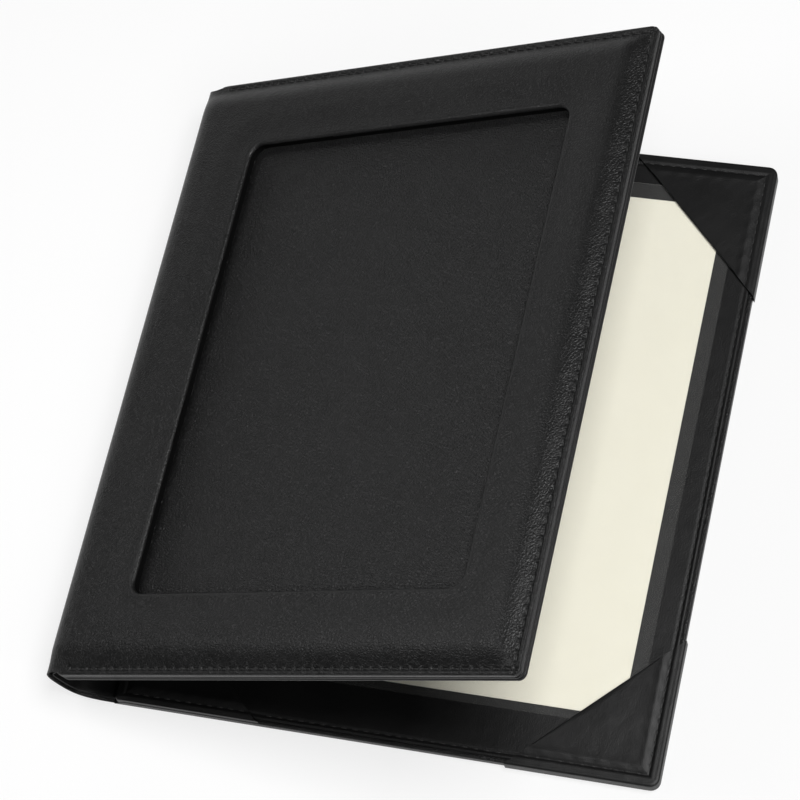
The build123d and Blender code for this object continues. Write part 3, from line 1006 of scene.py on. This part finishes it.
def dull_edge_dye():
    """Painted shade: a near-black, matt and almost glossless colour on the hide's wall in the window,
    where that crevice is in shade.
    """
    finish = Finish("dull_edge_dye")
    where = finish.place()
    painted_shade_mottle = finish.noise(where, 0.0008, detail=3.0)
    return finish.surface({
        "Base Color": finish.mixed(painted_shade_mottle, (0.0006, 0.0006, 0.0006), (0.0014, 0.0014, 0.0014)),
        "Roughness": 0.80 + 0.12 * painted_shade_mottle, "Specular IOR Level": 0.12,
        "Normal": finish.relief(painted_shade_mottle, 0.00003),
    })


# The painted shade covers the hide's wall in the window, up to a little under the rim
padded_frame.data.materials.append(dull_edge_dye())
skin_faces = padded_frame.data.polygons
centres = np.empty(len(skin_faces) * 3)
skin_faces.foreach_get("center", centres)
local = centres.reshape(-1, 3) - front_origin
on_wall = window_distance(local @ across_front, local[:, 1]) < painted_shade_reach
painted_shade_faces = on_wall & (local @ front_normal < painted_shade_top)
skin_faces.foreach_set("material_index", painted_shade_faces.astype(np.int32))
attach(padded_frame, "front")
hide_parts("front_cover_leather")


# Foam ring. Soft open foam on the windowed board, thick in the middle of each bar, gives the
# frame its crown. The hide hides all of it.
def foam_level(u, v):
    """Top of the foam, just under the hide."""
    return below_skin(u, v, foam_gap)


def open_foam():
    """Foam: small open cells with paler rims."""
    finish = Finish("open_foam")
    where = finish.place()
    rims = finish.stepped(finish.cells(where, 0.0012, "DISTANCE_TO_EDGE"), 0.02, 0.2)
    return finish.surface({
        "Base Color": finish.mixed(rims, (0.70, 0.66, 0.52), (0.42, 0.39, 0.30)),
        "Roughness": 0.9 + 0.05 * rims,
        "Normal": finish.relief(rims, 0.0003),
    })


foam_gap = 0.0002
foam_wall_top = 0.0076
foam_steps = (60, 72)
foam_window = window_outline(0.0012, foam_steps, 6)
foam_crest = window_outline(0.0030, foam_steps, 6)
foam_edge = front_outline(0.0058, foam_steps, 6)
foam_rows = [raised(foam_window, frame_board_top), raised(foam_window, foam_wall_top)]
foam_rows += [
    raised(partway(foam_crest, foam_edge, share), foam_level) for share in np.linspace(0, 1, 16)]
foam_rows.append(raised(foam_edge, frame_board_top))
foam = shell("foam_ring", on_front(np.array(foam_rows)))
foam.data.materials.append(open_foam())
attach(foam, "front")
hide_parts("front_foam_pad")


# Stitches of the front cover. The same thread runs along the top, fore and bottom margins
# through all layers, and shows on the inner face too.
def margin_stitches(name, side):
    """Stitches of the three margins, on the padded face, side 1, or on the inner face, -1."""
    count, end = len(across_seam), cover_height / 2 - margin_seam
    fore = np.full(len(along_seam), cover_width - margin_seam)
    u = np.concatenate([across_seam, across_seam, fore])
    v = np.concatenate([np.full(count, end), np.full(count, -end), along_seam])
    level = skin_level(u, v) if side > 0 else np.full(len(u), inner_thread_level)
    centres = on_front(np.stack([u, v, level], axis=1))
    directions = np.repeat([across_front, along_y], (2 * count, len(fore)), axis=0)
    return stitches(name, centres, directions, np.tile(side * front_normal, (len(u), 1)))


inner_thread_level = 0.0002
front_stitches = margin_stitches("front_margin_stitches", 1)
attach(front_stitches, "front")
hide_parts("front_edge_stitches")
inner_stitches = margin_stitches("front_inner_stitches", -1)
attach(inner_stitches, "front")


# Spine. A band of the cover's hide, skived thin where it is glued over the padded frame, rolls
# over the front cover's edge, bows outwards and joins the back cover's hide, with a band of lining
# inside. Each is made as two halves, the lower running from the back cover, the upper from the front.
band_steps = 120
band_hem = 0.0005
band_end_inset = 0.0004
lower_corner = spine_middle - spine_run * (spine_middle[1] / spine_run[1])
lower_curve = bezier(np.array((tongue_start, 0.0)), lower_corner, spine_middle, 0.78, 0.75, 60)


def inward(curve):
    """Unit normals of a curve, to the right of its heading."""
    heading = np.gradient(curve, axis=0)
    heading /= np.linalg.norm(heading, axis=1, keepdims=True)
    return np.stack([heading[:, 1], -heading[:, 0]], axis=1)


def band(name, curve, outer, inner, half_length, settle=None):
    """Band of hide between two depths under a curve, carried along the spine.

    outer, inner and half_length hold one value, or one for each point of the curve. Its hems
    are rounded: near an end the two faces close in as a half circle. settle moves its points."""
    normal = inward(curve)
    outer, inner, half_length = (
        np.broadcast_to(value, len(curve))[:, None] for value in (outer, inner, half_length))
    near_end = np.array((0.0, 0.03, 0.12, 0.3, 0.6, 1.0)) * band_hem
    y = np.concatenate([
        -half_length + near_end[None, :-1],
        (half_length - band_hem) * np.linspace(-1, 1, band_steps)[None],
        half_length - near_end[None, -2::-1],
    ], axis=1)
    distance = np.minimum(half_length - y, y + half_length)
    closing = np.sqrt(np.clip(1 - (1 - np.clip(distance / band_hem, 0, 1)) ** 2, 0, 1))
    closing = np.maximum(closing, 0.05)
    faces = []
    for side in (-1, 1):
        depth = (outer + inner) / 2 + side * (inner - outer) / 2 * closing
        x, z = (curve[:, k:k + 1] + normal[:, k:k + 1] * depth for k in (0, 1))
        face = np.stack([x, y, z], axis=2)
        faces.append(settle(face) if settle else face)
    made = slab(name, *faces)
    place = np.empty(len(made.data.vertices) * 3, np.float32)
    made.data.vertices.foreach_get("co", place)
    laid = made.data.attributes.new("laid_place", "FLOAT_VECTOR", "POINT")
    laid.data.foreach_set("vector", place)
    return made


def follow_margins(face):
    """Lowers the band with the padding towards the two ends of the front cover."""
    local = face - front_origin
    w, v = local @ front_normal, face[..., 1]
    u = np.maximum(local @ across_front, roll_end)
    edge = np.minimum(crown_level(u, v), crown_top) - seam_dent(u, v)
    full = crown_level(np.full(v.shape, roll_end), np.zeros(v.shape))
    rise = np.clip(w - roll_base, 0, None) * ((edge - roll_base) / (full - roll_base) - 1)
    return face + rise[..., None] * front_normal


spine_hide = leather("spine_hide_grained", cover_black, 0.0013, 0.00014, 0.38, "laid_place")
spine_lining = leather("spine_lining_hide", lining_black, 0.0010, 0.00006, 0.42, "laid_place")
full_half = cover_height / 2 - band_end_inset
lining_thickness = 0.0008
lining_half = cover_height / 2 - liner_inset
skive = 0.00006

lower_band = band("spine_hide_lower", lower_curve, 0.0, hide_thickness, full_half)
steps_up = np.linalg.norm(np.diff(upper_curve, axis=0), axis=1)
to_end = steps_up.sum() - np.concatenate([[0], np.cumsum(steps_up)])
upper_half = full_half - 0.0012 * bell(0.009 - to_end, 0.006)
thinning = smooth((roll_across - 0.0002) / (roll_end - 0.001))
skived = partway(hide_thickness, skive, thinning)
upper_band = band("spine_hide_upper", upper_curve, 0.0, skived, upper_half, follow_margins)


for part in (lower_band, upper_band):
    part.data.materials.append(spine_hide)

step_x = -cover_width / 2
inner_lower = lower_curve + inward(lower_curve) * (hide_thickness + lining_thickness)
on_tongue = inner_lower[inner_lower[:, 0] < step_x - 0.0035]
down = bezier(
    np.array((liner_join, liner_top)), np.array((step_x - 0.0009, liner_top)),
    np.array((step_x - 0.0010, 0.0032)), 0.7, 0.6, 14)
foot = bezier(down[-1], np.array((step_x - 0.0011, on_tongue[0][1])), on_tongue[0], 0.7, 0.6, 12)
lower_lining_curve = np.concatenate([down, foot[1:], on_tongue[1:]])
lower_lining = band(
    "spine_lining_lower", lower_lining_curve, -lining_thickness, 0.0, lining_half)
inner_upper = upper_curve + inward(upper_curve) * (hide_thickness + lining_thickness)
beside_cover = inner_upper[roll_level < 0.0005]
to_joint = bezier(
    beside_cover[-1], front_point(-0.0024, lower_top), front_point(0.0005, lower_top - 0.0001),
    0.7, 0.5, 16)
upper_lining_curve = np.concatenate([beside_cover, to_joint[1:]])
upper_lining = band(
    "spine_lining_upper", upper_lining_curve, -lining_thickness, 0.0, lining_half)
for part in (lower_lining, upper_lining):
    part.data.materials.append(spine_lining)
for part in (lower_band, lower_lining):
    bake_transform(part)
for part in (upper_band, upper_lining):
    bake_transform(part)
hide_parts("spine_leather")
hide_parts("spine_leather")
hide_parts("spine_liner")
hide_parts("spine_liner")


# Floor. The holder lies on a plain white table that keeps its soft shadow.
def white_floor():
    """White matt floor, which the camera sees partly lit from itself, so that it stays white."""
    finish = Finish("white_floor")
    matt = finish.node("ShaderNodeBsdfDiffuse", None, {"Color": (0.95, 0.95, 0.95, 1)})
    glow = finish.node("ShaderNodeEmission", None, {"Color": (1, 1, 1, 1), "Strength": 1.0})
    seen = [
        finish.node("ShaderNodeLightPath", output=f"Is {kind} Ray")
        for kind in ("Camera", "Glossy", "Transmission")
    ]
    any_seen = seen[0] + seen[1] + seen[2]
    share = any_seen.math("MINIMUM", any_seen, 1.0) * 0.70
    return finish.ending(finish.node("ShaderNodeMixShader", None, {0: share, 1: matt, 2: glow}))


floor_half = 4.0
floor_level = -0.00005
corner_signs = ((-1, -1), (1, -1), (1, 1), (-1, 1))
floor_corners = [(x * floor_half, y * floor_half, floor_level) for x, y in corner_signs]
floor_mesh = bpy.data.meshes.new("floor")
floor_mesh.from_pydata(floor_corners, [], [(0, 1, 2, 3)])
floor = linked("floor", floor_mesh)
floor.data.materials.append(white_floor())


# Light. Soft square lamps stand round the table in a dim room. The strongest is high at the
# right, above the fore edges, and lights the paper under the raised cover. A small near one
# at the left brings out the grain of the padding's lower corner.
def lamp(name, place, target, size, power):
    """Square lamp at a place, turned towards a target."""
    data = bpy.data.lights.new(name, "AREA")
    data.shape = "SQUARE"
    data.size, data.energy = size, power
    made = linked(name, data)
    made.location = place
    made.rotation_euler = Vector(np.subtract(target, place)).to_track_quat("-Z", "Y").to_euler()


middle = (-0.02, 0.0, 0.03)
lamp("key_lamp", (0.62, 0.0, 1.69), middle, 0.8, 23.2)
lamp("front_lamp", (0.8, -0.8, 1.13), middle, 0.8, 6.2)
lamp("back_lamp", (-1.06, 1.06, 0.55), middle, 0.8, 1.7)
lamp("corner_lamp", (-0.5, -0.05, 0.65), (0.05, -0.1, 0.1), 0.35, 1.6)
room = bpy.data.worlds.new("room")
bpy.context.scene.world = room
room.use_nodes = True
room_light = room.node_tree.nodes["Background"].inputs
room_light["Color"].default_value = (1, 1, 1, 1)
room_light["Strength"].default_value = 0.05


# Camera, at the photograph's viewing angle: above the fore edge's lower end, turned a little.
camera_target = (-0.029325, 0.013857, 0.0)
camera_azimuth, camera_elevation, camera_roll = np.radians((33.0116, 62.5216, -22.5927))
camera_distance = 1.40940
focal_pixels = 3036.94
image_pixels = 800
sensor_width = 36.0
camera_data = bpy.data.cameras.new("camera")
camera_data.lens = focal_pixels / image_pixels * sensor_width
camera_data.sensor_width = sensor_width
camera_data.clip_start = 0.05
camera = linked("camera", camera_data)
camera.matrix_world = (
    Matrix.Translation(camera_target)
    @ Matrix.Rotation(camera_azimuth, 4, "Z")
    @ Matrix.Rotation(np.pi / 2 - camera_elevation, 4, "X")
    @ Matrix.Rotation(camera_roll, 4, "Z")
    @ Matrix.Translation((0, 0, camera_distance))
)
bpy.context.scene.camera = camera
bpy.context.scene.view_settings.view_transform = "Standard"
